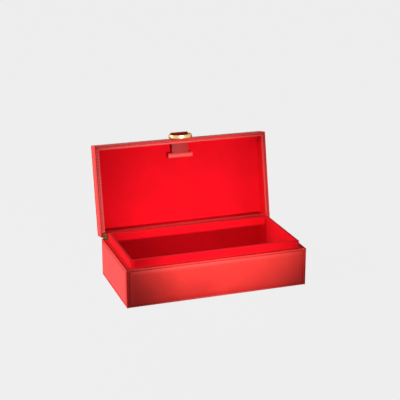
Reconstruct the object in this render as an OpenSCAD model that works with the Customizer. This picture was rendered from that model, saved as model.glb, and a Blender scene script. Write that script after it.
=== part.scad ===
// Stitched leather keepsake box with a hinged lid, a suede-lined well inside a raised collar,
// and a hanging metal pull ring held by a leather strap through the front wall of the lid.
// Millimetres. The origin is the centre of the underside, the front faces -Y and Z points up.

/* [Box] */
// Width of the closed box over the leather
box_w = 260; // [200:1:340]
// Depth of the closed box over the leather, front to back
box_d = 131; // [100:1:180]
// Height of the base, from the surface it stands on to its top edge
base_h = 54.8; // [40:0.2:80]
// Height of the lid, from its rim to its top
lid_h = 23; // [20:0.2:40]
// Angle through which the lid has opened when it meets its stop
lid_open = 101.3; // [92:0.1:110]
// Gap between the rim of the closed lid and the top edge of the base
lid_gap = 0.3; // [0.3:0.05:1]

/* [Leather and suede] */
// Thickness of the outer leather panels
leather_t = 1.6; // [1.2:0.1:2.2]
// Rounding of the outer leather edges
edge_r = 1.2; // [0.4:0.1:1.2]
// Height of the lower leather edge above the surface that the box stands on
foot_gap = 0.5; // [0.2:0.1:0.8]
// Thickness of the suede on the ledge, the collar and the well
suede_t = 0.8; // [0.5:0.1:1.2]
// Thickness of the suede lining inside the lid
lid_suede_t = 1; // [0.6:0.1:1.6]
// How far the suede ledge lies below the top edge of the leather
ledge_drop = 0.4; // [0.2:0.1:0.8]

/* [Base boards] */
// Thickness of the felt pad under the base
pad_t = 1.2; // [1:0.1:3]
// How far the felt pad stays inside the outside faces
pad_inset = 3; // [2:0.5:12]
// Corner radius of the felt pad
pad_r = 6; // [2:1:20]
// Thickness of the bottom board
floor_t = 4; // [3:0.5:8]
// Thickness of the four wall boards of the base
board_t = 6.4; // [5.6:0.2:10]
// Thickness of the collar board inside the suede
collar_board_t = 2.8; // [1.6:0.2:5]
// Height of the collar above the top edge of the base
collar_h = 10; // [5:0.5:11]
// Thickness of the suede pad on the floor of the well
floor_pad_t = 3; // [2:0.5:8]

/* [Lid boards] */
// Thickness of the four wall boards of the lid
lid_board_t = 3.8; // [3.6:0.1:4.2]
// Thickness of the top board of the lid
lid_top_t = 1.8; // [1.2:0.1:4]
// Thickness of the leather strip on the rim of the lid
rim_t = 1; // [0.9:0.05:1.2]

/* [Hinge] */
// Distance from each side of the box to the nearer end of the hinge
hinge_inset = 3; // [3:0.5:20]
// Number of knuckles along the hinge, an odd number
knuckle_n = 13; // [7:2:17]
// Outside radius of the knuckles
knuckle_r = 2; // [1.8:0.1:2.2]
// Radius of the hinge pin
pin_r = 1; // [0.7:0.1:1.2]
// How far the pin axis lies behind the back face of the box
hinge_out = 0.8; // [0.6:0.1:1.6]
// Distance from the pin axis to the free edge of each leaf
leaf_w = 6; // [5.8:0.1:6.4]
// Thickness of each leaf
leaf_t = 1; // [0.7:0.05:1.1]
// Length of the stop teeth at both ends of the hinge
tooth_len = 2; // [1:0.1:4]
// Angle that each stop tooth fills around the pin
tooth_a = 60; // [30:5:70]
// Angle round the pin, counted upwards from straight behind it, at which the base tooth starts
tooth_start = 190; // [180:5:200]
// Distance from the pin axis to the row of screws
screw_in = 4.3; // [4.2:0.05:4.5]
// Radius of a screw's shank
screw_r = 0.9; // [0.6:0.1:1]
// Radius of a screw's head
screw_head_r = 1.5; // [1.2:0.1:1.6]
// Height of a screw's countersunk head
screw_head_h = 0.6; // [0.4:0.1:0.6]
// Length of a screw
screw_len = 7; // [4:0.5:12]

/* [Strap and crossbar] */
// Width of the strap
strap_w = 25.5; // [16:0.5:40]
// Thickness of the strap where its two plies lie together
strap_t = 3; // [2:0.2:3.2]
// Height of the strap's middle above the rim of the lid
strap_z = 12.4; // [12.3:0.1:13]
// Distance from the front face to the near side of the crossbar inside the lid
bar_in = 20.2; // [16:0.1:30]
// Length of the leather-covered crossbar
bar_len = 38; // [30:1:60]
// Depth of the crossbar, front to back
bar_d = 8; // [6:0.5:12]
// Thickness of the crossbar
bar_t = 4.4; // [4.2:0.1:4.4]
// Thickness of the leather round the crossbar's core
bar_leather_t = 1.2; // [1:0.1:1.4]
// Rounding of the crossbar's long edges
bar_r = 1; // [0.5:0.1:1.4]

/* [Pull ring] */
// Width of the ring over the metal
ring_w = 35; // [30:0.5:60]
// Depth of the flat-backed half of the ring, behind its widest line
ring_back = 7.5; // [6:0.5:12]
// Depth of the round half of the ring, in front of its widest line
ring_front = 12.5; // [10:0.5:20]
// Radius of the ring's two side arcs
ring_side_r = 9.5; // [7:0.5:9.5]
// Radius of the two corners beside the straight part that the strap holds
ring_back_r = 4.5; // [3:0.5:6]
// Height of the metal band, through the ring
ring_h = 5; // [3:0.2:5]
// Thickness of the metal band
ring_t = 2; // [1.5:0.1:2]
// Inside radius of the strap's loop that holds the ring
loop_in_r = 3; // [3:0.1:3.4]
// Thickness of the strap's leather round the loop
loop_ply = 1.5; // [1.2:0.1:2]

/* [Hidden] */

$fn = 48;
cut = 2;                 // how far a cutting shape runs past what it cuts
run_gap = 0.3;           // clearance between pieces that pass each other
stop_gap = 0.5;          // angle left between the stop teeth when the lid is open
tooth_root = 0.5;        // how far a stop tooth runs into the knuckle that carries it
pin_head_t = 0.5;        // thickness of the heads that hold the hinge pin
pin_gap = 0.05;          // radial clearance of the pin and of the screws in their holes
slot_gap = 0.3;          // clearance round the strap in its slot
leather_red = [0.80, 0.16, 0.15];
suede_red = [0.86, 0.05, 0.10];
board_tan = [0.72, 0.58, 0.42];
brass_gold = [0.83, 0.66, 0.30];

half_w = box_w / 2;
half_d = box_d / 2;
skin_x = half_w - leather_t;                 // inner faces of the leather panels
skin_y = half_d - leather_t;
collar_t = collar_board_t + 2 * suede_t;
collar_x = skin_x - board_t;                 // outer faces of the collar
collar_y = skin_y - board_t;
well_x = collar_x - collar_t;                // inner faces of the well
well_y = collar_y - collar_t;
floor_z = pad_t + floor_t;
board_top = base_h - ledge_drop - suede_t;   // top of the wall boards, under the ledge's suede
collar_top = base_h + collar_h;

lid_in_x = skin_x - lid_board_t;             // inner faces of the lid's boards
lid_in_y = skin_y - lid_board_t;
cavity_x = lid_in_x - lid_suede_t;           // inner faces of the lid's lining
cavity_y = lid_in_y - lid_suede_t;
lid_roof = lid_h - leather_t - lid_top_t;    // underside of the lid's top board, above its rim
lining_z = lid_roof - lid_suede_t;           // visible face of the lid's top lining

hinge_len = box_w - 2 * hinge_inset;
hinge_y = half_d + hinge_out;
base_leaf_z = board_top;                     // the base leaf lies on the back board
lid_leaf_z = rim_t - leaf_t;                 // the lid leaf lies under the lid's back board
hinge_z = (base_leaf_z + leaf_t + base_h + lid_gap + lid_leaf_z) / 2;
knuckle_pitch = hinge_len / knuckle_n;
leaf_edge = hinge_y - leaf_w;
screw_y = hinge_y - screw_in;

strap_x = strap_w / 2;
loop_r = loop_in_r + loop_ply;
loop_y = -half_d - run_gap - loop_r;         // axis of the loop, in front of the lid's front face
bar_y = -half_d + bar_in;
ring_reach = ring_back + ring_front - ring_t / 2;   // from the loop's axis to the ring's far edge
ring_rest = asin(loop_r / norm([ring_reach, ring_h / 2]))
  - atan2(ring_h / 2, ring_reach);           // lean at which the ring's edge is run_gap off the box

module block(x0, x1, y0, y1, z0, z1) {
  translate([x0, y0, z0]) cube([x1 - x0, y1 - y0, z1 - z0]);
}

// Places what is drawn in the closed lid's frame, with the rim at z = 0, on the opened lid.
module on_open_lid() {
  translate([0, hinge_y, hinge_z]) rotate([-lid_open, 0, 0])
    translate([0, -hinge_y, base_h + lid_gap - hinge_z]) children();
}

// Turns a flat shape, drawn with its first axis along Y and its second along Z, into a bar along X.
module bar_along_x(length) {
  translate([-length / 2, 0, 0]) rotate([90, 0, 90]) linear_extrude(length) children();
}

// Rectangle of size [w, h] whose corners on its low side are rounded, and the others too if both is true.
module eased_rect(w, h, r, both = false) {
  intersection() {
    square([w, h]);
    union() {
      translate([r, r]) circle(r);
      translate([r, h - r]) circle(r);
      translate([0, r]) square([r + cut, h - 2 * r]);
      translate([r, 0]) square([both ? w - 2 * r : w, h]);
      if (both) {
        translate([w - r, r]) circle(r);
        translate([w - r, h - r]) circle(r);
        translate([w - r - cut, r]) square([r + cut, h - 2 * r]);
      }
    }
  }
}

// Leather panel along X with its outer face at y = 0, its low edge at z = 0 and its ends cut square.
module square_panel(length, h, t) {
  bar_along_x(length) eased_rect(t, h, min(edge_r, t - 0.2));
}

// Leather panel with its two ends rounded as its long edges are.
module round_panel(length, h, t) {
  r = min(edge_r, t - 0.2);
  intersection() {
    bar_along_x(length) eased_rect(t, h, r);
    translate([-length / 2, 0, -cut]) linear_extrude(h + 2 * cut)
      union() {
        translate([r, r]) circle(r);
        translate([length - r, r]) circle(r);
        translate([r, 0]) square([length - 2 * r, t + cut]);
        translate([0, r]) square([length, t + cut]);
      }
  }
}

// Board along X with mitred ends, from y = 0 outside to y = t inside.
module mitred(length, t, z0, z1) {
  translate([0, 0, z0]) linear_extrude(z1 - z0)
    polygon([[-length / 2, 0], [length / 2, 0], [length / 2 - t, t], [-length / 2 + t, t]]);
}

// One side of the collar's suede, folded over the collar board from the floor up.
module collar_suede(length) {
  difference() {
    mitred(length, collar_t, floor_z, collar_top);
    block(-length, length, suede_t, collar_t - suede_t, floor_z - cut, collar_top - suede_t);
  }
}

// One side of the collar board.
module collar_board(length) {
  intersection() {
    mitred(length, collar_t, floor_z, collar_top - suede_t);
    block(-length, length, suede_t, collar_t - suede_t, floor_z - cut, collar_top);
  }
}

module front_side(y) translate([0, -y, 0]) children();
module back_side(y) rotate([0, 0, 180]) translate([0, -y, 0]) children();
module left_side(x) rotate([0, 0, -90]) translate([0, -x, 0]) children();
module right_side(x) rotate([0, 0, 90]) translate([0, -x, 0]) children();

// Base

module base_pad() {
  x = half_w - pad_inset;
  y = half_d - pad_inset;
  color([0.35, 0.05, 0.07]) union() {
    block(-x + pad_r, x - pad_r, -y, y, 0, pad_t);
    block(-x, x, -y + pad_r, y - pad_r, 0, pad_t);
    for (sx = [-1, 1], sy = [-1, 1])
      translate([sx * (x - pad_r), sy * (y - pad_r), 0]) cylinder(h = pad_t, r = pad_r);
  }
}

module bottom_board() {
  color(board_tan) block(-skin_x, skin_x, -skin_y, skin_y, pad_t, floor_z);
}

module long_board() {
  block(-skin_x, skin_x, 0, board_t, floor_z, board_top);
}

module front_board() {
  color(board_tan) front_side(skin_y) long_board();
}

module back_board() {
  color(board_tan) difference() {
    back_side(skin_y) long_board();
    base_screw_holes();
  }
}

module end_board() {
  block(-skin_y + board_t, skin_y - board_t, 0, board_t, floor_z, board_top);
}

module left_board() color(board_tan) left_side(skin_x) end_board();
module right_board() color(board_tan) right_side(skin_x) end_board();

module front_panel() {
  color(leather_red) translate([0, -half_d, foot_gap])
    square_panel(2 * skin_x, base_h - foot_gap, leather_t);
}

module back_panel() {
  color(leather_red) difference() {
    back_side(half_d) translate([0, 0, foot_gap])
      square_panel(2 * skin_x, base_h - foot_gap, leather_t);
    hinge_room(board_top, base_h + cut);
  }
}

module end_panel() {
  translate([0, 0, foot_gap]) round_panel(box_d, base_h - foot_gap, leather_t);
}

module left_panel() color(leather_red) left_side(half_w) end_panel();
module right_panel() color(leather_red) right_side(half_w) end_panel();

module ledge_lining() {
  color(suede_red) difference() {
    block(-skin_x, skin_x, -skin_y, skin_y, board_top, base_h - ledge_drop);
    block(-collar_x, collar_x, -collar_y, collar_y, board_top - cut, base_h);
    hinge_room(board_top - cut, base_h + cut);
  }
}

module collar_front() color(board_tan) front_side(collar_y) collar_board(2 * collar_x);
module collar_back() color(board_tan) back_side(collar_y) collar_board(2 * collar_x);
module collar_left() color(board_tan) left_side(collar_x) collar_board(2 * collar_y);
module collar_right() color(board_tan) right_side(collar_x) collar_board(2 * collar_y);

module well_lining_front() color(suede_red) front_side(collar_y) collar_suede(2 * collar_x);
module well_lining_back() color(suede_red) back_side(collar_y) collar_suede(2 * collar_x);
module well_lining_left() color(suede_red) left_side(collar_x) collar_suede(2 * collar_y);
module well_lining_right() color(suede_red) right_side(collar_x) collar_suede(2 * collar_y);

module floor_pad() {
  color(suede_red) block(-well_x, well_x, -well_y, well_y, floor_z, floor_z + floor_pad_t);
}

// Hinge

// Room for the knuckles and the leaf, cut from what lies beside them, between heights z0 and z1.
module hinge_room(z0, z1) {
  x = hinge_len / 2 + pin_gap + pin_head_t + run_gap;
  block(-x, x, leaf_edge, hinge_y, z0, z1);
  translate([-x, hinge_y, hinge_z]) rotate([0, 90, 0]) cylinder(h = 2 * x, r = knuckle_r + run_gap);
}

function knuckle_x(i) = -hinge_len / 2 + (i + 0.5) * knuckle_pitch;

// Range of x that knuckle i fills. The knuckles beside the stop teeth are shorter there.
function knuckle_from(i) = -hinge_len / 2 + i * knuckle_pitch
  + (i == 0 ? 0 : i == 1 || i == knuckle_n - 1 ? run_gap / 2 + tooth_len / 2 : run_gap / 2);
function knuckle_to(i) = -hinge_len / 2 + (i + 1) * knuckle_pitch
  - (i == knuckle_n - 1 ? 0 : i == knuckle_n - 2 || i == 0 ? run_gap / 2 + tooth_len / 2 : run_gap / 2);

module rod_x(x0, x1, r) {
  translate([x0, hinge_y, hinge_z]) rotate([0, 90, 0]) cylinder(h = x1 - x0, r = r);
}

// Sector of a knuckle from x0 to x1, between the angles a0 and a1 from +Y towards +Z.
module tooth(x0, x1, a0, a1) {
  reach = 3 * knuckle_r;
  mid = (a0 + a1) / 2;
  intersection() {
    rod_x(x0, x1, knuckle_r);
    translate([x0 - cut, hinge_y, hinge_z]) rotate([90, 0, 90]) linear_extrude(x1 - x0 + 2 * cut)
      polygon([[0, 0], reach * [cos(a0), sin(a0)], 1.5 * reach * [cos(mid), sin(mid)],
               reach * [cos(a1), sin(a1)]]);
  }
}

// The knuckles whose number leaves the given remainder, each joined to the leaf by its tongue.
module knuckles(odd, z0) {
  for (i = [odd : 2 : knuckle_n - 1]) {
    rod_x(knuckle_from(i), knuckle_to(i), knuckle_r);
    block(knuckle_from(i), knuckle_to(i), leaf_edge, hinge_y, z0, z0 + leaf_t);
  }
}

// Both end teeth of one leaf, from x0 to x1 on the left and mirrored on the right.
module end_teeth(x0, x1, a0) {
  tooth(x0, x1, a0, a0 + tooth_a);
  mirror([1, 0, 0]) tooth(x0, x1, a0, a0 + tooth_a);
}

module screw(head_z) {
  translate([0, 0, head_z]) mirror([0, 0, 1]) difference() {
    union() {
      cylinder(h = screw_head_h, r1 = screw_head_r, r2 = screw_r);
      cylinder(h = screw_len, r = screw_r);
    }
    translate([-screw_head_r, -screw_r / 4, -cut]) cube([2 * screw_head_r, screw_r / 2, cut + screw_head_h / 2]);
  }
}

// The hole that a screw needs, with pin_gap all round.
module screw_hole(head_z) {
  translate([0, 0, head_z]) mirror([0, 0, 1]) union() {
    cylinder(h = screw_head_h, r1 = screw_head_r + pin_gap, r2 = screw_r + pin_gap);
    cylinder(h = screw_len + pin_gap, r = screw_r + pin_gap);
  }
}

module at_knuckles(odd) {
  for (i = [odd : 2 : knuckle_n - 1]) translate([knuckle_x(i), screw_y, 0]) children();
}

module base_screw_holes() at_knuckles(0) screw_hole(base_leaf_z + leaf_t);
module lid_screw_holes() at_knuckles(1) mirror([0, 0, 1]) screw_hole(-lid_leaf_z);

module hinge_base_leaf() {
  tooth_from = knuckle_to(0);
  color(brass_gold) difference() {
    union() {
      block(-hinge_len / 2, hinge_len / 2, leaf_edge, hinge_y - knuckle_r - run_gap,
            base_leaf_z, base_leaf_z + leaf_t);
      knuckles(0, base_leaf_z);
      end_teeth(tooth_from - tooth_root, tooth_from + tooth_len, tooth_start);
    }
    rod_x(-hinge_len, hinge_len, pin_r + pin_gap);
    base_screw_holes();
  }
}

module hinge_pin() {
  color(brass_gold) union() {
    rod_x(-hinge_len / 2 - pin_gap, hinge_len / 2 + pin_gap, pin_r);
    for (s = [0, 1]) mirror([s, 0, 0])
      rod_x(hinge_len / 2 + pin_gap, hinge_len / 2 + pin_gap + pin_head_t, (pin_r + knuckle_r) / 2);
  }
}

module hinge_base_screws() {
  color(brass_gold) at_knuckles(0) screw(base_leaf_z + leaf_t);
}

// Draws in the closed lid's frame what is given in the closed box's own heights.
module lid_heights() translate([0, 0, -(base_h + lid_gap)]) children();

module hinge_lid_leaf() {
  tooth_to = knuckle_from(1);
  color(brass_gold) on_open_lid() difference() {
    union() {
      block(-hinge_len / 2, hinge_len / 2, leaf_edge, hinge_y - knuckle_r - run_gap,
            lid_leaf_z, lid_leaf_z + leaf_t);
      lid_heights() {
        knuckles(1, base_h + lid_gap + lid_leaf_z);
        end_teeth(tooth_to - tooth_len, tooth_to + tooth_root, tooth_start + tooth_a + lid_open + stop_gap);
      }
    }
    lid_heights() rod_x(-hinge_len, hinge_len, pin_r + pin_gap);
    lid_screw_holes();
  }
}

module hinge_lid_screws() {
  color(brass_gold) on_open_lid() at_knuckles(1) mirror([0, 0, 1]) screw(-lid_leaf_z);
}

// Lid

module lid_top_board() {
  color(board_tan) on_open_lid() block(-skin_x, skin_x, -skin_y, skin_y, lid_roof, lid_roof + lid_top_t);
}

module lid_long_board() block(-skin_x, skin_x, 0, lid_board_t, rim_t, lid_roof);
module lid_end_board() block(-lid_in_y, lid_in_y, 0, lid_board_t, rim_t, lid_roof);

module lid_front_board() {
  color(board_tan) on_open_lid() difference() {
    front_side(skin_y) lid_long_board();
    strap_slot();
  }
}

module lid_back_board() {
  color(board_tan) on_open_lid() difference() {
    back_side(skin_y) lid_long_board();
    lid_screw_holes();
  }
}

module lid_left_board() color(board_tan) on_open_lid() left_side(skin_x) lid_end_board();
module lid_right_board() color(board_tan) on_open_lid() right_side(skin_x) lid_end_board();

module lid_top_panel() {
  r = min(edge_r, leather_t - 0.2);
  color(leather_red) on_open_lid() translate([0, 0, lid_h - leather_t]) intersection() {
    bar_along_x(box_w) lid_section(box_d, r);
    rotate([0, 0, 90]) bar_along_x(box_d) lid_section(box_w, r);
  }
}

// Section of the top panel, w wide, with its two upper edges rounded.
module lid_section(w, r) {
  intersection() {
    translate([-w / 2, 0]) square([w, leather_t]);
    union() {
      for (s = [-1, 1]) translate([s * (w / 2 - r), leather_t - r]) circle(r);
      translate([-w / 2, -cut]) square([w, leather_t - r + cut]);
      translate([-w / 2 + r, 0]) square([w - 2 * r, leather_t]);
    }
  }
}

module lid_long_panel() block(-skin_x, skin_x, 0, leather_t, 0, lid_h - leather_t);

module lid_front_panel() {
  color(leather_red) on_open_lid() difference() {
    front_side(half_d) lid_long_panel();
    strap_slot();
  }
}

module lid_back_panel() {
  color(leather_red) on_open_lid() difference() {
    back_side(half_d) lid_long_panel();
    lid_heights() hinge_room(base_h, base_h + lid_gap + rim_t);
  }
}

module lid_end_panel() {
  intersection() {
    round_panel(box_d, lid_h, leather_t);
    block(-box_d, box_d, -cut, leather_t + cut, 0, lid_h - leather_t);
  }
}

module lid_left_panel() color(leather_red) on_open_lid() left_side(half_w) lid_end_panel();
module lid_right_panel() color(leather_red) on_open_lid() right_side(half_w) lid_end_panel();

rim_w = lid_board_t + lid_suede_t;

module lid_rim_front() color(leather_red) on_open_lid() front_side(skin_y) mitred(2 * skin_x, rim_w, 0, rim_t);

module lid_end_rim() {
  difference() {
    children();
    lid_heights() hinge_room(base_h, base_h + lid_gap + rim_t + cut);
  }
}

module lid_rim_left() {
  color(leather_red) on_open_lid() lid_end_rim() left_side(skin_x) mitred(2 * skin_y, rim_w, 0, rim_t);
}

module lid_rim_right() {
  color(leather_red) on_open_lid() lid_end_rim() right_side(skin_x) mitred(2 * skin_y, rim_w, 0, rim_t);
}

module lid_rim_back() {
  color(leather_red) on_open_lid() intersection() {
    back_side(skin_y) mitred(2 * skin_x, rim_w, 0, rim_t);
    block(-skin_x, skin_x, cavity_y - cut, leaf_edge, -cut, rim_t + cut);
  }
}

module lid_lining_top() {
  color(suede_red) on_open_lid() block(-lid_in_x, lid_in_x, -lid_in_y, lid_in_y, lining_z, lid_roof);
}

module lid_long_lining() block(-lid_in_x, lid_in_x, 0, lid_suede_t, rim_t, lining_z);
module lid_end_lining() block(-cavity_y, cavity_y, 0, lid_suede_t, rim_t, lining_z);

module lid_lining_front() {
  color(suede_red) on_open_lid() difference() {
    front_side(lid_in_y) lid_long_lining();
    strap_slot();
  }
}

module lid_lining_back() color(suede_red) on_open_lid() back_side(lid_in_y) lid_long_lining();
module lid_lining_left() color(suede_red) on_open_lid() left_side(lid_in_x) lid_end_lining();
module lid_lining_right() color(suede_red) on_open_lid() right_side(lid_in_x) lid_end_lining();

// Strap, crossbar and ring

// The slot through the lid's front wall that the strap slides in.
module strap_slot() {
  x = strap_x + slot_gap;
  z = strap_t / 2 + slot_gap;
  block(-x, x, -half_d - cut, -cavity_y + cut, strap_z - z, strap_z + z);
}

module pull_strap() {
  inner_end = bar_y + bar_leather_t - loop_y;
  color(leather_red) on_open_lid() translate([0, loop_y, strap_z]) bar_along_x(strap_w) difference() {
    union() {
      circle(loop_r);
      translate([0, -strap_t / 2]) square([inner_end, strap_t]);
    }
    circle(loop_in_r);
  }
}

module bar_core_block() {
  x = bar_len / 2 - bar_leather_t;
  block(-x, x, bar_y + bar_leather_t, bar_y + bar_d - bar_leather_t,
        strap_z - bar_t / 2 + bar_leather_t, strap_z + bar_t / 2 - bar_leather_t);
}

module bar_core() color(board_tan) on_open_lid() bar_core_block();

module bar_cover() {
  color(leather_red) on_open_lid() difference() {
    translate([0, bar_y, strap_z - bar_t / 2]) bar_along_x(bar_len) eased_rect(bar_d, bar_t, bar_r, true);
    bar_core_block();
    block(-strap_x, strap_x, bar_y - cut, bar_y + bar_leather_t, strap_z - strap_t / 2, strap_z + strap_t / 2);
  }
}

// Outline of the ring: straight behind, with two side arcs and one wider arc joined in front.
ring_arc_r = (pow(ring_w / 2, 2) + pow(ring_front, 2) - ring_w * ring_side_r)
  / (2 * (ring_front - ring_side_r));
module ring_outline(inset) {
  side_x = ring_w / 2 - ring_side_r;
  arc_y = ring_front - ring_arc_r;
  intersection() {
    translate([0, arc_y]) circle(ring_arc_r - inset);
    polygon([[0, arc_y], [-3 * side_x, -2 * arc_y], [3 * side_x, -2 * arc_y]]);
  }
  intersection() {
    for (s = [-1, 1]) translate([s * side_x, 0]) circle(ring_side_r - inset);
    translate([-ring_w / 2, 0]) square([ring_w, ring_side_r]);
  }
  for (s = [-1, 1]) translate([s * (ring_w / 2 - ring_back_r), ring_back_r - ring_back])
    circle(ring_back_r - inset);
  translate([inset - ring_w / 2, ring_back_r - ring_back])
    square([ring_w - 2 * inset, ring_back - ring_back_r]);
  translate([ring_back_r - ring_w / 2, inset - ring_back])
    square([ring_w - 2 * ring_back_r, ring_back - inset]);
}

module pull_ring() {
  color(brass_gold) on_open_lid() translate([0, loop_y, strap_z]) rotate([-(90 - ring_rest), 0, 0])
    translate([0, ring_back - ring_t / 2, -ring_h / 2]) linear_extrude(ring_h) difference() {
      ring_outline(0);
      ring_outline(ring_t);
    }
}

base_pad();
bottom_board();
front_board();
back_board();
left_board();
right_board();
front_panel();
back_panel();
left_panel();
right_panel();
ledge_lining();
collar_front();
collar_back();
collar_left();
collar_right();
well_lining_front();
well_lining_back();
well_lining_left();
well_lining_right();
floor_pad();
hinge_base_leaf();
hinge_pin();
hinge_base_screws();
lid_top_board();
lid_front_board();
lid_back_board();
lid_left_board();
lid_right_board();
lid_top_panel();
lid_front_panel();
lid_back_panel();
lid_left_panel();
lid_right_panel();
lid_rim_front();
lid_rim_back();
lid_rim_left();
lid_rim_right();
lid_lining_top();
lid_lining_front();
lid_lining_back();
lid_lining_left();
lid_lining_right();
hinge_lid_leaf();
hinge_lid_screws();
pull_strap();
bar_core();
bar_cover();
pull_ring();
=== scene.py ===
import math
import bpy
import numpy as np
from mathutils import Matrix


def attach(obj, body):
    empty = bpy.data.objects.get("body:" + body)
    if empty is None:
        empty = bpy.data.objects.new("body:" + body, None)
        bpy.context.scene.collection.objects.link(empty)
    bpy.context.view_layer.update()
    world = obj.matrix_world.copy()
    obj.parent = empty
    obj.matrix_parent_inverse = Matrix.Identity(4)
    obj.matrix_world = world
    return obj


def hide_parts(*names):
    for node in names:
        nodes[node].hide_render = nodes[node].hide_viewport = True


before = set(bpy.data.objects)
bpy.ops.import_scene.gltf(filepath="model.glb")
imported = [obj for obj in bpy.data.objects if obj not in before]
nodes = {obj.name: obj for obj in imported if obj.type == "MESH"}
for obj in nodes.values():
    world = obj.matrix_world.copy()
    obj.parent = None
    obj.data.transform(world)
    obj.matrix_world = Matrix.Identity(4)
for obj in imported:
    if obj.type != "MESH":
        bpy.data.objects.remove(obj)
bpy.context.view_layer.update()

# %% [markdown]
# This lesson dresses a stitched leather keepsake box that stands open: a base with a lined well, a
# lid on a long hinge, and a strap with a brass ring. The solid model gives every size, in metres,
# with the origin under the middle of the base. The sizes are repeated here in millimetres, so that
# each surface can be worked out as an array and scaled once, when its mesh is made. X runs along
# the width, Y from the front to the back and Z upwards.

MM_PER_M = 1000.0
BOX_W, BOX_D, BASE_H, LID_H = 260.0, 131.0, 54.8, 23.0
LEATHER = 1.6
SKIN_X, SKIN_Y = BOX_W / 2 - LEATHER, BOX_D / 2 - LEATHER     # outer faces of the boards
X, Y, Z = np.eye(3)
print("solid model:", len(nodes), "nodes")

# %% [markdown]
# The lid stands open, but its pieces are easiest to draw on the closed lid, with its rim at height 0.
# They could be drawn there and turned as objects. Here the points themselves are turned about the
# hinge, because a finished piece keeps its object at the origin and its place in its mesh.

# %% From the closed lid to the opened one
HINGE_OUT, HINGE_Z, LID_GAP = 0.8, 54.85, 0.3
HINGE_Y = BOX_D / 2 + HINGE_OUT
LID_OPEN = math.radians(101.3)


def open_lid(points):
    """Each point is taken from the hinge axis, turned back through the opening angle and put back."""
    c, s = math.cos(LID_OPEN), math.sin(LID_OPEN)
    dy = points[:, 1] - HINGE_Y
    dz = points[:, 2] + BASE_H + LID_GAP - HINGE_Z
    return np.stack([points[:, 0], HINGE_Y + dy * c + dz * s, HINGE_Z - dy * s + dz * c], axis=1)


print("lid opened by", round(math.degrees(LID_OPEN), 1), "degrees")

# %% [markdown]
# Every piece needs the same few steps: a mesh, a finish, the body that it moves with, and the
# solids that it stands for. One helper does them all, so that none is forgotten for a single piece.

# %% From an array to a piece
def add_mesh(name, points, faces, material, body, node_names=(), on_lid=False):
    """Points in millimetres become a mesh in metres that rides on a body and may stand for nodes."""
    points = open_lid(points) if on_lid else points
    mesh = bpy.data.meshes.new(name)
    mesh.from_pydata((points / MM_PER_M).tolist(), [], faces.tolist())
    mesh.polygons.foreach_set("use_smooth", np.full(len(mesh.polygons), True))
    mesh.update()
    piece = bpy.data.objects.new(name, mesh)
    bpy.context.scene.collection.objects.link(piece)
    mesh.materials.append(material)
    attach(piece, body)
    if node_names:
        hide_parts(*node_names)
    return piece

# %% [markdown]
# Leather is covered in tiny pebbles, and both leather and suede have a slow, cloudy change of shade.
# Each finish could draw its own, but an effect that several finishes share is easier to keep right
# as one node group, which gives the pebbles as a height and the cloud as a value.

# %% Grain that the finishes share
FINE_RATIO, FINE_SHARE, FINE_DETAIL = 2.3, 0.5, 4.0
CLOUD_SCALE, CLOUD_DETAIL = 28.0, 5.0


def new_group(name, inputs, outputs):
    """An empty node group with named inputs and outputs, and its two end nodes."""
    group = bpy.data.node_groups.new(name, "ShaderNodeTree")
    for label, kind, value in inputs:
        socket = group.interface.new_socket(label, in_out="INPUT", socket_type=kind)
        socket.default_value = value
    for label, kind in outputs:
        group.interface.new_socket(label, in_out="OUTPUT", socket_type=kind)
    return group, group.nodes.new("NodeGroupInput"), group.nodes.new("NodeGroupOutput")


def math_node(tree, kind, a, b):
    """The sum, product or larger of two values. Each is a plain number or another node's output."""
    node = tree.nodes.new("ShaderNodeMath")
    node.operation = kind
    for socket, value in zip(node.inputs, (a, b)):
        if isinstance(value, (int, float)):
            socket.default_value = value
        else:
            tree.links.new(value, socket)
    return node.outputs[0]


def grain_group():
    """Height is a cell pattern for the pebbles plus finer noise. Cloud is slow noise for the shade."""
    group, start, end = new_group(
        "leather_grain",
        [("Vector", "NodeSocketVector", (0, 0, 0)), ("Scale", "NodeSocketFloat", 900.0)],
        [("Height", "NodeSocketFloat"), ("Cloud", "NodeSocketFloat")])
    cells = group.nodes.new("ShaderNodeTexVoronoi")
    cells.feature = "SMOOTH_F1"
    fine = group.nodes.new("ShaderNodeTexNoise")
    fine.inputs["Detail"].default_value = FINE_DETAIL
    slow = group.nodes.new("ShaderNodeTexNoise")
    slow.inputs["Scale"].default_value = CLOUD_SCALE
    slow.inputs["Detail"].default_value = CLOUD_DETAIL
    for node in (cells, fine, slow):
        group.links.new(start.outputs["Vector"], node.inputs["Vector"])
    group.links.new(start.outputs["Scale"], cells.inputs["Scale"])
    group.links.new(math_node(group, "MULTIPLY", start.outputs["Scale"], FINE_RATIO),
                    fine.inputs["Scale"])
    mixed = math_node(group, "ADD", cells.outputs["Distance"],
                      math_node(group, "MULTIPLY", fine.outputs["Fac"], FINE_SHARE))
    group.links.new(mixed, end.inputs["Height"])
    group.links.new(slow.outputs["Fac"], end.inputs["Cloud"])
    return group


GRAIN = grain_group()
print("grain group:", len(GRAIN.nodes), "nodes")

# %% [markdown]
# A finish is a shader whose colour and roughness follow the cloud and whose bump is the grain. All
# eight could be built by hand, but they differ only in their numbers, so one function builds them.
# A number that is the same all over the surface is set on the shader's own socket.

# %% A finish from a few numbers
CLOUD_LOW, CLOUD_HIGH = 0.3, 0.7
ROUGHNESS_SPREAD = 0.08
BUMP_STRENGTH = 0.6
SHEEN_ROUGHNESS, SHEEN_TINT = 0.4, (1.0, 0.45, 0.45, 1.0)


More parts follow.
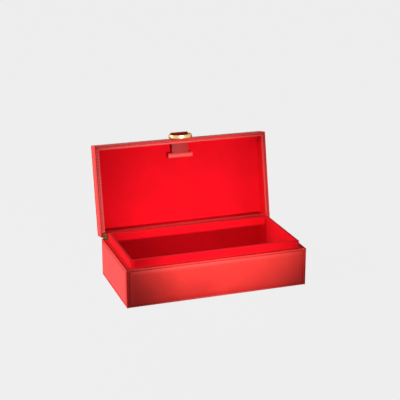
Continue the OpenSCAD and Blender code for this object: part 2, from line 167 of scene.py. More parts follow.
def finish(name, dark, light, roughness, bump, scale, metallic=0.0, sheen=0.0, shine=0.5):
    """Colour runs from dark to light along the cloud. Roughness is a middle value plus some cloud."""
    material = bpy.data.materials.new(name)
    material.use_nodes = True
    tree = material.node_tree
    shader = tree.nodes["Principled BSDF"]
    place = tree.nodes.new("ShaderNodeTexCoord")
    group = tree.nodes.new("ShaderNodeGroup")
    group.node_tree = GRAIN
    group.inputs["Scale"].default_value = scale
    tree.links.new(place.outputs["Object"], group.inputs["Vector"])
    ramp = tree.nodes.new("ShaderNodeValToRGB")
    stops = zip(ramp.color_ramp.elements, (CLOUD_LOW, CLOUD_HIGH), (dark, light))
    for stop, position, colour in stops:
        stop.position = position
        stop.color = (*colour, 1)
    tree.links.new(group.outputs["Cloud"], ramp.inputs["Fac"])
    tree.links.new(ramp.outputs["Color"], shader.inputs["Base Color"])
    spread = math_node(tree, "MULTIPLY", group.outputs["Cloud"], ROUGHNESS_SPREAD)
    rough = math_node(tree, "ADD", spread, roughness - ROUGHNESS_SPREAD / 2)
    tree.links.new(rough, shader.inputs["Roughness"])
    height = tree.nodes.new("ShaderNodeBump")
    height.inputs["Strength"].default_value = BUMP_STRENGTH
    height.inputs["Distance"].default_value = bump
    tree.links.new(group.outputs["Height"], height.inputs["Height"])
    tree.links.new(height.outputs["Normal"], shader.inputs["Normal"])
    shader.inputs["Metallic"].default_value = metallic
    shader.inputs["Sheen Weight"].default_value = sheen
    shader.inputs["Sheen Roughness"].default_value = SHEEN_ROUGHNESS
    shader.inputs["Sheen Tint"].default_value = SHEEN_TINT
    shader.inputs["Specular IOR Level"].default_value = shine
    return material

# %% [markdown]
# These finishes cover the box: smooth sewn leather, a darker leather for the strap that paints the
# shade under the lid's rim, stitches darkened to paint the shade of their furrow, soft lining suede,
# polished brass for the ring, dull brass darkened to paint the shade on the hinge, brown fibre board
# and felt. The colours are linear values chosen for plain studio light. The bump is in metres, and the
# scale is the number of pebbles or fibres in a metre.

# %% The finishes
leather = finish("red_leather", (0.68, 0.015, 0.011), (0.80, 0.022, 0.015),
                 roughness=0.46, bump=0.00010, scale=900.0, shine=0.3)
# The strap's leather is darker than the rest. This paints the shade that falls on it under the lid's
# rim.
strap_leather_painted_shade = finish("strap_leather_painted_shade", (0.33, 0.007, 0.006), (0.46, 0.014, 0.012),
                       roughness=0.55, bump=0.00012, scale=1000.0, shine=0.2)
# The stitches' finish is much darker than the leather. This paints the shade of the seam's furrow onto
# the stitches.
thread_painted_shade = finish("red_thread_painted_shade", (0.16, 0.003, 0.004), (0.26, 0.006, 0.008),
                roughness=0.8, bump=0.0001, scale=4000.0, shine=0.1)
suede = finish("red_suede", (0.70, 0.0012, 0.007), (0.78, 0.0018, 0.010),
               roughness=0.9, bump=0.00012, scale=2600.0, sheen=0.12, shine=0.1)
brass = finish("polished_brass", (0.78, 0.55, 0.20), (0.92, 0.70, 0.32),
               roughness=0.25, bump=0.00002, scale=500.0, metallic=1.0)
# The hinge's brass is made dark to paint the shade that falls on it.
aged_brass = finish("aged_brass", (0.20, 0.13, 0.045), (0.32, 0.21, 0.08),
                    roughness=0.45, bump=0.00003, scale=700.0, metallic=1.0)
board = finish("fibre_board", (0.30, 0.18, 0.09), (0.44, 0.29, 0.16),
               roughness=0.8, bump=0.0002, scale=1400.0)
felt = finish("dark_felt", (0.10, 0.008, 0.010), (0.17, 0.012, 0.016),
              roughness=0.95, bump=0.0004, scale=1800.0, sheen=0.2)
print("finishes:", len(bpy.data.materials))

# %% [markdown]
# The nodes that keep their solid shape get their finish first. Dull brass, darkened to paint the
# shade that falls on it, covers the hinge. The boards hardly show, but every one is dressed, so that
# nothing is bare where a gap lets light in. A node's name says what it is made of, which is safer
# than a list of all of them.

# %% Finishes on the solid model's own pieces
def own_finish(node_name):
    """The finish of a solid, told from its name. Whatever is none of the others is leather."""
    if node_name.startswith("hinge"):
        return aged_brass
    if node_name.endswith("_board") or node_name.startswith("collar_") or node_name == "bar_core":
        return board
    if "lining" in node_name or node_name == "floor_pad":
        return suede
    return felt if node_name == "base_pad" else leather


for node_name, node in nodes.items():
    node.data.materials.clear()
    node.data.materials.append(own_finish(node_name))
print("dressed", len(nodes), "nodes of the solid model")

# %% [markdown]
# A leather panel is a flat skin whose edges are turned over and whose seam pulls a shallow furrow a
# few millimetres inside the edge. It could be a box with bevelled edges, but the furrow would then
# need cuts of its own. One surface does for every panel and pad: a grid that is fine near the edges,
# with a height for each point that depends only on its distance from the edge.

# %% A grid that is fine near its edges
EDGE_STEPS = np.array([0, 0.08, 0.3, 0.65, 1.0])              # in radii of the rounded edge
FURROW_STEPS = np.array([-0.9, -0.45, 0, 0.45, 0.9])          # in millimetres, across the furrow
PLAIN_STEP, MIDDLE_GAP = 2.2, 0.1
GRID_PITCH, GRID_LEAST = 6.0, 3


def spaced(length, radius, furrow):
    """Places along one side: close together over the rounding and the furrow, wide in the middle."""
    seam_steps = furrow + FURROW_STEPS if furrow else np.array([PLAIN_STEP * radius])
    side = np.concatenate([EDGE_STEPS * radius, seam_steps[seam_steps > radius]])
    side = side[side < length / 2 - MIDDLE_GAP]
    count = max(GRID_LEAST, int(length / GRID_PITCH))
    middle = np.linspace(side[-1], length - side[-1], count)[1:-1]
    return np.concatenate([side, middle, (length - side)[::-1]])


print("a plain side of 100 mm has", len(spaced(100.0, 1.0, 0.0)), "places")

# %% [markdown]
# The height of a panel is a sum of simple parts, so one formula gives hard leather and soft pads
# alike. A crown is a low dome for the pads, with a small power, so that it is nearly flat in the
# middle and falls steeply to the edge, as stuffing does under a tight cover.

# %% Panels and pads
FURROW_WIDTH = 0.45
CROWN_POWER = 0.35


def fall(distance, radius):
    """Drop of a quarter circle: radius less the root of radius squared less what is left squared."""
    left = np.clip(radius - distance, 0, None)
    return radius - np.sqrt(np.clip(radius ** 2 - left ** 2, 0, None))


def dome(grid, length):
    """A parabola that is 1 in the middle and 0 at both ends, raised to the crown's power."""
    return np.clip(4 * grid * (length - grid) / length ** 2, 0, 1) ** CROWN_POWER


def panel(length, width, thick, radius, furrow=0.0, depth=0.0, crown=0.0):
    """Height = thickness, less the rounding near the edge, less a smooth furrow, plus a low crown."""
    u, v = spaced(length, radius, furrow), spaced(width, radius, furrow)
    grid_u, grid_v = np.meshgrid(u, v, indexing="ij")
    du, dv = np.minimum(grid_u, length - grid_u), np.minimum(grid_v, width - grid_v)
    height = thick - np.minimum(np.maximum(fall(du, radius), fall(dv, radius)), radius)
    if furrow:
        height -= depth * np.exp(-((np.minimum(du, dv) - furrow) / FURROW_WIDTH) ** 2)
    if crown:
        height += crown * (dome(grid_u, length) * dome(grid_v, width))
    top = np.stack([grid_u, grid_v, height], axis=-1).reshape(-1, 3)
    under = top.copy()
    under[:, 2] = 0
    shift = len(top)
    index = np.arange(shift).reshape(len(u), len(v))
    quads = np.stack([index[:-1, :-1], index[1:, :-1], index[1:, 1:], index[:-1, 1:]], axis=-1)
    quads = quads.reshape(-1, 4)
    rim = np.concatenate([index[:-1, 0], index[-1, :-1], index[:0:-1, -1], index[0, :0:-1]])
    after = np.roll(rim, -1)
    walls = np.stack([rim + shift, after + shift, after, rim], axis=-1)
    faces = np.concatenate([quads, quads[:, ::-1] + shift, walls])
    return np.concatenate([top, under]), faces


def dress(name, size, start, along, up, out, material, body, slot_name, node_name, on_lid=False,
          **shape):
    """Length, width and height run along three directions from the panel's starting corner."""
    points, faces = panel(*size, **shape)
    points = np.array(start) + points @ np.array([along, up, out], dtype=float)
    return add_mesh(name, points, faces, material, body, [node_name], on_lid)

# %% [markdown]
# The base is wrapped in panels. The end panels run the full depth and cover the ends of the front
# one, which is why a thin upright edge shows at each front corner. The lid's walls are wrapped in
# the same way, so the places of the three walls that show are kept in one list for both, and for
# the rows of stitches later. The two back panels are flat and plain, and keep their solid shape.

# %% Leather of the base
FOOT = 0.5                                                    # height where the leather starts
FURROW = 3.0
BASE_SHAPE = dict(radius=1.2, furrow=FURROW, depth=0.5)
base_h = BASE_H - FOOT


def walls_at(foot):
    """Name, length, starting corner, direction along and direction outwards of the three walls."""
    return (("front", 2 * SKIN_X, (-SKIN_X, -SKIN_Y, foot), X, -Y),
            ("left", BOX_D, (-SKIN_X, BOX_D / 2, foot), -Y, -X),
            ("right", BOX_D, (SKIN_X, -BOX_D / 2, foot), Y, X))


for side_name, length, start, along, out in walls_at(FOOT):
    dress("leather_" + side_name, (length, base_h, LEATHER), start, along, Z, out,
          leather, "base", "leather", side_name + "_panel", **BASE_SHAPE)
    print("leather_" + side_name, length, "x", base_h, "mm")

# %% [markdown]
# The lid's walls are low, so their edges are turned over more tightly and their furrow is shallower
# than the base's. The top is one wide panel that lies over the upper edges of all four walls.

# %% Leather of the lid
LID_SHAPE = dict(radius=0.5, furrow=FURROW, depth=0.3)
lid_side = LID_H - LEATHER
for side_name, length, start, along, out in walls_at(0):
    dress("lid_leather_" + side_name, (length, lid_side, LEATHER), start, along, Z, out,
          leather, "lid", "leather", "lid_" + side_name + "_panel", True, **LID_SHAPE)
dress("lid_leather_top", (BOX_W, BOX_D, LEATHER), (-BOX_W / 2, -BOX_D / 2, lid_side), X, Y, Z,
      leather, "lid", "leather", "lid_top_panel", True, **BASE_SHAPE)
print("lid walls", lid_side, "mm high, top", BOX_W, "x", BOX_D, "mm")

# %% [markdown]
# The collar, the ledge and the rim all run round the box. Four separate bars would leave a gap or
# an overlap at each corner. Each is therefore one section, drawn as distances in from an outer
# rectangle and heights, and carried round it with mitred corners.

# %% Sections carried round a rectangle
SIDE_STEPS, TURN_STEPS, WALL_STEPS = 24, 7, 5


def skin(now, ahead):
    """Quads between rings: a point, the one ahead, the neighbour of that one, its own neighbour."""
    beside = [np.roll(ring, -1, axis=1) for ring in (ahead, now)]
    return np.stack([now, ahead, *beside], axis=-1).reshape(-1, 4)


def carried_round(half_x, half_y, section):
    """Each corner of the rectangle moves in by the section's distance. The sides are cut in steps."""
    inward, height = section[:, 0], section[:, 1]
    corners = np.array([(-1, -1), (1, -1), (1, 1), (-1, 1), (-1, -1)], dtype=float)
    share = np.linspace(0, 1, SIDE_STEPS, endpoint=False)[:, None]
    path = np.concatenate([a + (b - a) * share for a, b in zip(corners[:-1], corners[1:])])
    x = path[:, None, 0] * (half_x - inward[None, :])
    y = path[:, None, 1] * (half_y - inward[None, :])
    z = np.broadcast_to(height[None, :], x.shape)
    index = np.arange(x.size).reshape(x.shape)
    return np.stack([x, y, z], axis=-1).reshape(-1, 3), skin(index, np.roll(index, -1, axis=0))


def rounded_section(width, low, high, radius):
    """Up the outer side, over two rounded corners and down the inner side, closed underneath."""
    turn = np.linspace(0, math.pi / 2, TURN_STEPS)
    outer = np.stack([radius - radius * np.cos(turn),
                      high - radius + radius * np.sin(turn)], axis=1)
    inner = np.stack([width - outer[::-1, 0], outer[::-1, 1]], axis=1)
    sides = np.linspace(low, high - radius, WALL_STEPS + 1)[:-1]
    left = np.stack([np.zeros(WALL_STEPS), sides], axis=1)
    right = np.stack([np.full(WALL_STEPS, width), sides[::-1]], axis=1)
    return np.concatenate([left, outer, inner, right])

# %% [markdown]
# Suede covers the raised collar that the lid closes over, the ledge round it and the floor of the
# well. It is folded over the collar's board, so the collar's top edge is well rounded. The floor is a
# thin pad with a low crown, and the felt under the base is a flat one that looks downwards.

# %% Suede of the collar, the ledge and the well, and felt under the base
BOARD, SUEDE, PAD_T = 6.4, 0.8, 2.3
COLLAR_T, COLLAR_H, COLLAR_R = 4.4, 10.0, 1.3
COLLAR_X, COLLAR_Y = SKIN_X - BOARD, SKIN_Y - BOARD
WELL_X, WELL_Y, FLOOR_Z = COLLAR_X - COLLAR_T, COLLAR_Y - COLLAR_T, 5.2
LEDGE_DROP, LEDGE_R = 0.4, 0.3
LEDGE_Z = BASE_H - LEDGE_DROP
FELT_W, FELT_D, FELT_T = 254.0, 125.0, 1.2

section = rounded_section(COLLAR_T, FLOOR_Z, BASE_H + COLLAR_H, COLLAR_R)
points, faces = carried_round(COLLAR_X, COLLAR_Y, section)
add_mesh("collar_suede", points, faces, suede, "base",
         ["well_lining_front", "well_lining_back", "well_lining_left", "well_lining_right"])
section = rounded_section(BOARD, LEDGE_Z - SUEDE, LEDGE_Z, LEDGE_R)
points, faces = carried_round(SKIN_X, SKIN_Y, section)
add_mesh("ledge_suede", points, faces, suede, "base", ["ledge_lining"])
pad = dress("well_floor_pad", (2 * WELL_X, 2 * WELL_Y, PAD_T), (-WELL_X, -WELL_Y, FLOOR_Z), X, Y, Z,
            suede, "base", "suede", "floor_pad", radius=1.4, crown=0.7)
dress("underside_felt", (FELT_W, FELT_D, FELT_T), (-FELT_W / 2, FELT_D / 2, FELT_T), X, -Y, -Z,
      felt, "base", "felt", "base_pad", radius=0.5)
print("well:", 2 * WELL_X, "x", 2 * WELL_Y, "mm, collar", COLLAR_H, "mm above the base")

# %% [markdown]
# Inside the lid the lining is a soft panel pressed between four narrow lined walls. One open tray
# would do for a hard lining, but here five pieces meet with a fine line between them. The panel has
# a low crown, so the light falls off towards its corners.

# %% Suede of the lid
LID_WALL, LID_BOARD, LID_SUEDE, RIM_T = 3.8, 1.8, 1.0, 1.0
LID_ROOF = LID_H - LEATHER - LID_BOARD
IN_X, IN_Y = SKIN_X - LID_WALL, SKIN_Y - LID_WALL
wall_h = LID_ROOF - LID_SUEDE - RIM_T
for side_name, length, start, along, out in (
        ("front", 2 * IN_X, (IN_X, -IN_Y, RIM_T), -X, Y),
        ("back", 2 * IN_X, (-IN_X, IN_Y, RIM_T), X, -Y),
        ("left", 2 * IN_Y, (-IN_X, -IN_Y, RIM_T), Y, X),
        ("right", 2 * IN_Y, (IN_X, IN_Y, RIM_T), -Y, -X)):
    dress("lid_suede_" + side_name, (length, wall_h, LID_SUEDE), start, along, Z, out,
          suede, "lid", "suede", "lid_lining_" + side_name, True, radius=0.4)
pad = dress("lid_suede_panel", (2 * IN_X, 2 * IN_Y, LID_SUEDE), (-IN_X, IN_Y, LID_ROOF), X, -Y, -Z,
            suede, "lid", "suede", "lid_lining_top", True, radius=0.6, crown=0.9)
print("lid lining:", round(2 * IN_X, 1), "x", round(2 * IN_Y, 1), "mm, walls", round(wall_h, 1))

# %% [markdown]
# A leather strip covers the lid's rim, from the outer leather to the suede inside. It is a section
# carried round like the collar's, but it faces down, so its heights and the order of its corners are
# both turned over. At the back it stops short, which leaves the hinge its room.

# %% Leather rim of the lid
RIM_BACK, RIM_R = 60.3, 0.45
section = rounded_section(LID_WALL + LID_SUEDE, 0.0, RIM_T, RIM_R)
points, faces = carried_round(SKIN_X, SKIN_Y, section)
points[:, 2] = RIM_T - points[:, 2]
points[:, 1] = np.minimum(points[:, 1], RIM_BACK)
add_mesh("lid_rim_leather", points, faces[:, ::-1], leather, "lid",
         ["lid_rim_front", "lid_rim_back", "lid_rim_left", "lid_rim_right"], True)
print("rim:", LID_WALL + LID_SUEDE, "mm wide,", len(faces), "faces")

# %% [markdown]
# The strap, the bar at its inner end and the ring are all a rounded rectangle carried along a line.
# A curve object with a bevel could do that, but it would choose the section's turn by itself. Here
# the section's first direction is given, so a flat strap stays flat.

# %% A section carried along a line
CORNER_STEPS = 5


def rounded_rectangle(width, height, radius):
    """Four quarter turns joined by straight sides, counterclockwise."""
    turn = np.linspace(0, math.pi / 2, CORNER_STEPS)
    corners = [(1, 1, 0), (-1, 1, 1), (-1, -1, 2), (1, -1, 3)]
    parts = [np.stack([sx * (width / 2 - radius) + radius * np.cos(turn + q * math.pi / 2),
                       sy * (height / 2 - radius) + radius * np.sin(turn + q * math.pi / 2)], axis=1)
             for sx, sy, q in corners]
    return np.concatenate(parts)


def end_cap(count):
    """Two halves of a ring face each other, and quads between them close it like a ladder's rungs."""
    near = np.arange(count // 2)
    far = count - 1 - near
    return np.stack([near[:-1], near[1:], far[1:], far[:-1]], axis=-1)


def carried_along(path, across, section, closed):
    """Section x runs along the across direction, and y along the line's direction times across."""
    if closed:
        tangent = np.roll(path, -1, axis=0) - np.roll(path, 1, axis=0)
    else:
        tangent = np.gradient(path, axis=0)
    tangent /= np.linalg.norm(tangent, axis=1, keepdims=True)
    side = np.broadcast_to(across, path.shape)
    normal = np.cross(tangent, side)
    points = (path[:, None] + section[None, :, :1] * side[:, None]
              + section[None, :, 1:] * normal[:, None])
    count, ring = len(path), len(section)
    index = np.arange(count * ring).reshape(count, ring)
    now, ahead = (index, np.roll(index, -1, axis=0)) if closed else (index[:-1], index[1:])
    faces = [skin(now, ahead)[:, [0, 3, 2, 1]]]
    if not closed:
        faces += [end_cap(ring)[:, ::-1], end_cap(ring) + (count - 1) * ring]
    return points.reshape(-1, 3), np.concatenate(faces)

# %% [markdown]
# The strap is one strip of leather folded round the ring and sewn to itself. Its middle line runs out
# from the crossbar, round the ring's bar and back, so the loop round the ring is a real fold. The two
# plies nearly touch, with a hair's breadth between them.

# %% Strap
STRAP_W, STRAP_Z, PLY = 25.5, 12.4, 1.5
LOOP_IN, LOOP_GAP, LOOP_OPENING, LOOP_STEPS = 3.0, 0.3, 28, 49
LOOP_R = LOOP_IN + PLY
LOOP_Y = -BOX_D / 2 - LOOP_GAP - LOOP_R
BAR_IN, IN_BAR, IN_LOOP, RUN_STEPS = 20.2, 1.1, 1.6, 14
BAR_Y = -BOX_D / 2 + BAR_IN
HAIR, THINNED, STRAP_R = 0.02, 0.06, 0.5

mid_r = LOOP_IN + PLY / 2
turn = np.radians(np.linspace(LOOP_OPENING, 360 - LOOP_OPENING, LOOP_STEPS))
loop = np.stack([LOOP_Y + mid_r * np.cos(turn), STRAP_Z + mid_r * np.sin(turn)], axis=1)
run = np.linspace(BAR_Y + IN_BAR, LOOP_Y + mid_r + IN_LOOP, RUN_STEPS)
upper = np.stack([run, np.full(RUN_STEPS, STRAP_Z + PLY / 2 - HAIR)], axis=1)
lower = np.stack([run[::-1], np.full(RUN_STEPS, STRAP_Z - PLY / 2 + HAIR)], axis=1)
line = np.concatenate([upper, loop, lower])
path = np.column_stack([np.zeros(len(line)), line])
section = rounded_rectangle(STRAP_W, PLY - THINNED, STRAP_R)
points, faces = carried_along(path, X, section, closed=False)
# The strap's darker finish is painted shade from the lid's rim.
add_mesh("strap", points, faces, strap_leather_painted_shade, "pull", ["pull_strap"], True)
strip = np.linalg.norm(np.diff(line, axis=0), axis=1).sum()
print("strap:", STRAP_W, "mm wide, cut from a strip", round(strip, 1), "mm long")

# %% [markdown]
# The crossbar keeps the strap from being pulled out of the lid. It is a stiff core wrapped in
# leather, so its section shrinks a little at both ends, where the leather is folded in. A plain box
# would have sharp ends, and a subdivided one would lose the bar's exact length.

# %% Crossbar
BAR_LEN, BAR_D, BAR_T, BAR_R = 38.0, 8.0, 4.4, 1.2
END_START, END_LENGTH, END_SHRINK = 0.95, 0.05, 0.28          # shares of the bar's half length
BODY_STEPS = 30
end_places = np.array([0.97, 0.985, 0.995, 1.0])

body_places = np.linspace(-END_START, END_START, BODY_STEPS)
bar_x = np.concatenate([-end_places[::-1], body_places, end_places])
swell = 1 - END_SHRINK * np.clip((np.abs(bar_x) - END_START) / END_LENGTH, 0, 1) ** 2
section = rounded_rectangle(BAR_D, BAR_T, BAR_R)
ring_n = len(section)
points = np.stack([np.repeat(bar_x * BAR_LEN / 2, ring_n),
                   (BAR_Y + BAR_D / 2 + swell[:, None] * section[None, :, 0]).ravel(),
                   (STRAP_Z + swell[:, None] * section[None, :, 1]).ravel()], axis=1)
index = np.arange(len(points)).reshape(-1, ring_n)
cap = end_cap(ring_n)
faces = np.concatenate([skin(index[:-1], index[1:])[:, ::-1], cap[:, ::-1], cap + index[-1, 0]])
add_mesh("crossbar_leather", points, faces, leather, "pull", ["bar_cover"], True)
print("crossbar:", BAR_LEN, "x", BAR_D, "x", BAR_T, "mm")

# %% [markdown]
# The ring is flat brass bent to a shape between an oval and a D: a straight bar in the strap's loop,
# two tight corners, two wide sides and a shallow front. A torus that is scaled would be thicker on
# two sides, so the outline is made of arcs. Each meets the next in the same direction, without a kink.

# %% Outline of the ring
RING_W, RING_BACK, RING_FRONT, RING_SIDE, RING_CORNER = 35.0, 7.5, 12.5, 9.5, 4.5
RING_H, RING_T, RING_R = 5.0, 2.0, 0.7
SIDE_ARC, FRONT_ARC, CORNER_ARC = 16, 32, 10
inset = RING_T / 2
arc_r = (((RING_W / 2) ** 2 + RING_FRONT ** 2 - RING_W * RING_SIDE)
         / (2 * (RING_FRONT - RING_SIDE)))
side_x, arc_y = RING_W / 2 - RING_SIDE, RING_FRONT - arc_r
meet = math.atan2(-arc_y, side_x)
corner_x, corner_y = RING_W / 2 - RING_CORNER, RING_CORNER - RING_BACK
back_x = np.linspace(-corner_x, corner_x, CORNER_ARC, endpoint=False)


def arc(cx, cy, radius, start, end, count):
    """Centre plus radius times the cosine and sine of angles from start to just before end."""
    a = np.linspace(start, end, count, endpoint=False)
    return np.stack([cx + radius * np.cos(a), cy + radius * np.sin(a)], axis=1)


outline = np.concatenate([
    arc(side_x, 0, RING_SIDE - inset, 0, meet, SIDE_ARC),
    arc(0, arc_y, arc_r - inset, meet, math.pi - meet, FRONT_ARC),
    arc(-side_x, 0, RING_SIDE - inset, math.pi - meet, math.pi, SIDE_ARC),
    arc(-corner_x, corner_y, RING_CORNER - inset, math.pi, 1.5 * math.pi, CORNER_ARC),
    np.stack([back_x, np.full(CORNER_ARC, inset - RING_BACK)], axis=1),
    arc(corner_x, corner_y, RING_CORNER - inset, 1.5 * math.pi, 2 * math.pi, CORNER_ARC)])
print("ring outline:", len(outline), "points, front arc of radius", round(arc_r, 1), "mm")

# %% [markdown]
# The outline is carried round as a closed line and then leaned, as the ring lies on the real box. The
# lean is worked out, not guessed: it is the angle at which the ring's far edge comes as near to the
# lid's front wall as the strap's loop does.

# %% Ring
path = np.column_stack([outline, np.zeros(len(outline))])
path[:, 1] += RING_BACK - inset
points, faces = carried_along(path, Z, rounded_rectangle(RING_H, RING_T, RING_R), closed=True)
reach = RING_BACK + RING_FRONT - inset
lean = math.asin(LOOP_R / math.hypot(reach, RING_H / 2)) - math.atan2(RING_H / 2, reach)
c, s = math.sin(lean), math.cos(lean)
points = np.stack([points[:, 0], LOOP_Y + points[:, 1] * c + points[:, 2] * s,
                   STRAP_Z - points[:, 1] * s + points[:, 2] * c], axis=1)
add_mesh("brass_ring", points, faces, brass, "ring", ["pull_ring"], True)
print("ring:", RING_W, "x", RING_BACK + RING_FRONT, "mm, leaning", round(math.degrees(lean), 1))

# %% [markdown]
# The strap runs through a slot in the lid's front wall. The slot could be left out of the panels'
# grids, but a cut is simpler: a short block, which is only a tool, is taken out of the leather and of
# the suede, and thrown away once it has cut.

# %% Slot for the strap
SLOT_GAP, SLOT_HALF_H = 0.3, 1.8
BLOCK_FRONT, BLOCK_BACK = 3, 10                               # reach before and behind the leather
BLOCK_FACES = [(0, 1, 3, 2), (4, 6, 7, 5), (0, 4, 5, 1), (2, 3, 7, 6), (0, 2, 6, 4), (1, 5, 7, 3)]


def cut_slot(piece, half_x, half_z):
    """Takes the block's shape out of the piece and keeps the result as the piece's own mesh."""
    x, y, z = (v.ravel() for v in np.meshgrid(
        [-half_x, half_x], [-BOX_D / 2 - BLOCK_FRONT, -BOX_D / 2 + BLOCK_BACK],
        [STRAP_Z - half_z, STRAP_Z + half_z], indexing="ij"))
    corners = open_lid(np.stack([x, y, z], axis=1)) / MM_PER_M
    mesh = bpy.data.meshes.new("slot_block")
    mesh.from_pydata(corners.tolist(), [], BLOCK_FACES)
    block = bpy.data.objects.new("slot_block", mesh)
    bpy.context.scene.collection.objects.link(block)
    cutter = piece.modifiers.new("slot", "BOOLEAN")
    cutter.operation, cutter.solver, cutter.object = "DIFFERENCE", "EXACT", block
    solved = piece.evaluated_get(bpy.context.evaluated_depsgraph_get())
    result = bpy.data.meshes.new_from_object(solved)
    piece.modifiers.clear()
    piece.data = result
    bpy.data.objects.remove(block)
    print(piece.name, "slot cut,", len(result.polygons), "faces")


for slotted in ("lid_leather_front", "lid_suede_front"):
    cut_slot(bpy.data.objects[slotted], STRAP_W / 2 + SLOT_GAP, SLOT_HALF_H)

# %% [markdown]
# Thread shows as a row of short raised stitches that lie in the furrow. A dashed line in the finish
# would look flat from the side, so each stitch is a small spindle. One stitch is worked out as a few
# rings of points, and whole rows of copies are placed at once as arrays.

# %% Stitches
PITCH, STITCH, THREAD = 4.6, 3.4, 0.42
STITCH_RINGS = np.array([-0.5, -0.38, 0.0, 0.38, 0.5])
STITCH_FATNESS = np.array([0.15, 0.8, 1.0, 0.8, 0.15])
STITCH_SIDES = 6
STITCH_POINTS = len(STITCH_RINGS) * STITCH_SIDES


def stitches(starts, along, out):
    """A stitch is a spindle of six-sided rings. Copies are added at every starting point."""
    fat = STITCH_FATNESS * THREAD
    turn = 2 * math.pi * np.arange(STITCH_SIDES) / STITCH_SIDES
    across = np.cross(out, along)
    one = (STITCH_RINGS[:, None, None] * STITCH * np.array(along)
           + fat[:, None, None] * (np.cos(turn)[None, :, None] * across
                                   + np.sin(turn)[None, :, None] * np.array(out))).reshape(-1, 3)
    index = np.arange(STITCH_POINTS).reshape(-1, STITCH_SIDES)
    first_cap = np.array([[0, 1, 2, 3], [0, 3, 4, 5]])
    last_cap = first_cap[:, ::-1] + index[-1, 0]
    faces = np.concatenate([skin(index[:-1], index[1:]), first_cap, last_cap])
    points = (starts[:, None] + one[None]).reshape(-1, 3)
    shifts = STITCH_POINTS * np.arange(len(starts))[:, None, None]
    return points, (faces[None] + shifts).reshape(-1, 4)


def places_at(x, y, z):
    """One starting point for each place, where a plain number stands for the same one in all."""
    return np.stack(np.broadcast_arrays(x, y, z), axis=1)


def seam(length, width, start, along, up, out, lift):
    """The four rows of a panel's seam, a furrow's distance inside its edge."""
    rows = []
    for run_dir, run_len, off_dir, off_len in ((along, length, up, width),
                                               (up, width, along, length)):
        count = max(2, int(round((run_len - 2 * FURROW) / PITCH)))
        places = FURROW + (np.arange(count) + 0.5) * (run_len - 2 * FURROW) / count
        for offset in (FURROW, off_len - FURROW):
            starts = np.array(start) + places[:, None] * run_dir + offset * off_dir + lift * out
            rows.append(stitches(starts, run_dir, out))
    return rows


def sew(name, rows, body, on_lid=False):
    """All rows become one mesh: the faces of each row are shifted by the points that came before."""
    before = np.cumsum([0] + [len(points) for points, _ in rows[:-1]])
    points = np.concatenate([points for points, _ in rows])
    faces = np.concatenate([faces + shift for (_, faces), shift in zip(rows, before)])
    # The stitches' dark colour is painted shade from the furrow that they lie in.
    add_mesh(name, points, faces, thread_painted_shade, body, (), on_lid)
    print(name, len(points) // STITCH_POINTS, "stitches")

# %% [markdown]
# Each leather panel is sewn all round. On the dressed panels the stitches sink into the furrow. The
# back panels keep their flat solid, so theirs lie higher, and they stop short of the hinge.

# %% Seams of the base and of the lid
IN_FURROW, ON_FLAT = LEATHER - 0.3, LEATHER - 0.1
HINGE_ROOM = 4


def wall_seams(foot, height):
    """The seams of the three walls that show, in the order of the list of walls."""
    return [row for _, length, start, along, out in walls_at(foot)
            for row in seam(length, height, start, along, Z, out, IN_FURROW)]


sew("base_seams", wall_seams(FOOT, base_h)
    + seam(2 * SKIN_X, base_h - HINGE_ROOM, (SKIN_X, SKIN_Y, FOOT), -X, Z, Y, ON_FLAT), "base")
sew("lid_seams", wall_seams(0, lid_side)
    + seam(2 * SKIN_X, lid_side - HINGE_ROOM, (SKIN_X, SKIN_Y, HINGE_ROOM), -X, Z, Y, ON_FLAT)
    + seam(BOX_W, BOX_D, (-BOX_W / 2, -BOX_D / 2, lid_side), X, Y, Z, IN_FURROW), "lid", True)

# %% [markdown]
# The rim is sewn once along its front and its two sides, near the outer edge. The rows are open, so
# they are placed one by one and not as a panel's seam.

# %% Seams of the rim
RIM_SEAM, RIM_LIFT = 1.6, 0.05
ROW_START, ROW_END = 3, 2
places = np.arange(-SKIN_X + ROW_START, SKIN_X - ROW_END, PITCH)
rim_rows = [stitches(places_at(places, -SKIN_Y + RIM_SEAM, RIM_LIFT), X, -Z)]
places = np.arange(-SKIN_Y + ROW_START, RIM_BACK - ROW_END, PITCH)
rim_rows += [stitches(places_at(x, places, RIM_LIFT), Y, -Z)
             for x in (-SKIN_X + RIM_SEAM, SKIN_X - RIM_SEAM)]
sew("rim_seams", rim_rows, "lid", True)

# %% [markdown]
# The strap and the crossbar have finer stitches than the panels: the same spindle, made smaller. The
# strap's rows sit low in the leather, because they pass through the slot in the lid's wall.

# %% Seams of the strap and the crossbar
SMALL, SHORT_OF_BAR = 0.6, 1
STRAP_PITCH, STRAP_START, STRAP_SEAM, STRAP_SINK = 2.6, 7.5, 2, 0.22
BAR_PITCH, BAR_ROW, BAR_SEAM, BAR_SINK = 2.75, 16.5, 1.5, 0.05
pull_rows = []
places = np.arange(-BOX_D / 2 + STRAP_START, BAR_Y - SHORT_OF_BAR, STRAP_PITCH)
for x in (-STRAP_W / 2 + STRAP_SEAM, STRAP_W / 2 - STRAP_SEAM):
    for z, out in ((STRAP_Z + PLY - STRAP_SINK, Z), (STRAP_Z - PLY + STRAP_SINK, -Z)):
        pull_rows.append(stitches(places_at(x, places, z), Y * SMALL, out))
places = np.arange(-BAR_ROW, BAR_ROW + 0.5, BAR_PITCH)
for z, out in ((STRAP_Z - BAR_T / 2 + BAR_SINK, -Z), (STRAP_Z + BAR_T / 2 - BAR_SINK, Z)):
    for y in (BAR_Y + BAR_SEAM, BAR_Y + BAR_D - BAR_SEAM):
        pull_rows.append(stitches(places_at(places, y, z), X * SMALL, out))
sew("pull_seams", pull_rows, "pull", True)

# %% [markdown]
# The box stands in a pale studio, where the floor and the surround look like one plain backdrop. A
# surround that is bright enough to look so would also wash out the red. So the camera and the
# reflections see a bright floor and surround, and the box is lit by a weaker one.

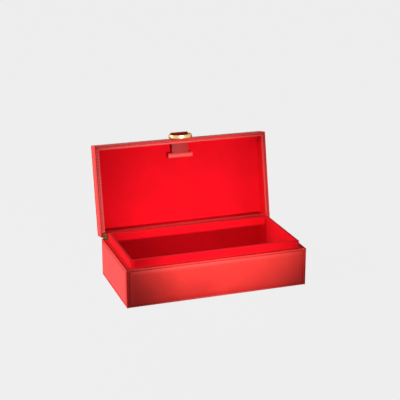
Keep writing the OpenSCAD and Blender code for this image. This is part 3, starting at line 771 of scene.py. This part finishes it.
# %% Floor and surround
FLOOR_HALF = 6.0
PALE, DARK = (0.863, 0.863, 0.863, 1), (0.02, 0.02, 0.02, 1)
SURROUND_SEEN, SURROUND_LIT = 1.0, 0.16
FLOOR_SEEN, FLOOR_LIT = 0.985, 0.14


def seen_strength(tree, socket, seen, lit):
    """The strength that the camera and reflections see, and the weaker one that lights the box."""
    rays = tree.nodes.new("ShaderNodeLightPath")
    blend = tree.nodes.new("ShaderNodeMix")
    blend.inputs["A"].default_value = lit
    blend.inputs["B"].default_value = seen
    tree.links.new(math_node(tree, "MAXIMUM", rays.outputs["Is Camera Ray"],
                             rays.outputs["Is Glossy Ray"]), blend.inputs["Factor"])
    tree.links.new(blend.outputs["Result"], socket)


mesh = bpy.data.meshes.new("floor")
corners = np.array([(-1, -1, 0), (1, -1, 0), (1, 1, 0), (-1, 1, 0)]) * FLOOR_HALF
mesh.from_pydata(corners.tolist(), [], [(0, 1, 2, 3)])
floor = bpy.data.objects.new("floor", mesh)
bpy.context.scene.collection.objects.link(floor)
pale = bpy.data.materials.new("pale_floor")
pale.use_nodes = True
shader = pale.node_tree.nodes["Principled BSDF"]
shader.inputs["Base Color"].default_value = DARK
shader.inputs["Roughness"].default_value = 1.0
shader.inputs["Specular IOR Level"].default_value = 0.0
shader.inputs["Emission Color"].default_value = PALE
mesh.materials.append(pale)

world = bpy.data.worlds.new("surround")
bpy.context.scene.world = world
world.use_nodes = True
background = world.node_tree.nodes["Background"]
background.inputs["Color"].default_value = PALE
seen_strength(world.node_tree, background.inputs["Strength"], SURROUND_SEEN, SURROUND_LIT)
seen_strength(pale.node_tree, shader.inputs["Emission Strength"], FLOOR_SEEN, FLOOR_LIT)
bpy.context.scene.view_settings.view_transform = "Standard"
print("floor", 2 * FLOOR_HALF, "m wide, seen at", FLOOR_SEEN, "and lighting at", FLOOR_LIT)

# %% [markdown]
# Three lights shape the box. A broad soft one on the left pales the left faces. Two round pools from
# the front, brightest in their middle, light the lid's lining and the front panel, and leave a band
# of shade in the well. Spots make such pools, because an area light would light everything evenly.

# %% Lights
def add_lamp(name, light, place, target):
    """The lamp looks from its place at the target: tilt from the vertical, then a turn about it."""
    lamp = bpy.data.objects.new(name, light)
    lamp.location = place
    away = np.array(place) - np.array(target)
    distance = np.linalg.norm(away)
    lamp.rotation_euler = (math.acos(away[2] / distance), 0, math.atan2(away[0], -away[1]))
    bpy.context.scene.collection.objects.link(lamp)
    print(name, light.energy, "W,", round(float(distance), 2), "m away")


def soft_light(name, place, target, side, power):
    """A square of light that glows evenly, with soft shadows."""
    light = bpy.data.lights.new(name, "AREA")
    light.shape = "RECTANGLE"
    light.size, light.size_y, light.energy = side, side, power
    add_lamp(name, light, place, target)


def pool(name, place, target, angle, power, radius):
    """A soft round pool of light, brightest in its middle, that fades to nothing at its edge."""
    light = bpy.data.lights.new(name, "SPOT")
    light.spot_size, light.spot_blend, light.energy = math.radians(angle), 1.0, power
    light.shadow_soft_size = radius
    add_lamp(name, light, place, target)


soft_light("left_box", (-1.2, 0.05, 0.34), (0, 0, 0.06), side=0.6, power=17)
pool("lid_pool", (0.14, -1.2, 0.19), (0.005, 0.08, 0.108), angle=17, power=62, radius=0.02)
pool("front_pool", (-0.15, -1.1, 0.52), (-0.02, -0.066, 0.085), angle=13, power=24, radius=0.05)

# %% [markdown]
# The camera stands where the photograph's straight edges say it stood: well to the left and above,
# with a long lens. It could be aimed by eye, but edges that run along the box's width, depth and
# height fix its place, its two angles and its lens together.

# %% Camera
LENS, SENSOR, NEAREST = 98.9, 36.0, 0.05
LOOKS_DOWN, LOOKS_RIGHT = 17.92, 19.08
view = bpy.data.cameras.new("camera")
view.lens = LENS
view.sensor_width = SENSOR
view.clip_start = NEAREST
camera = bpy.data.objects.new("camera", view)
camera.location = (-0.4791, -1.3731, 0.5893)
camera.rotation_euler = (math.radians(90 - LOOKS_DOWN), 0, math.radians(-LOOKS_RIGHT))
bpy.context.scene.collection.objects.link(camera)
bpy.context.scene.camera = camera
print("camera looks down", LOOKS_DOWN, "and right", LOOKS_RIGHT, "degrees")
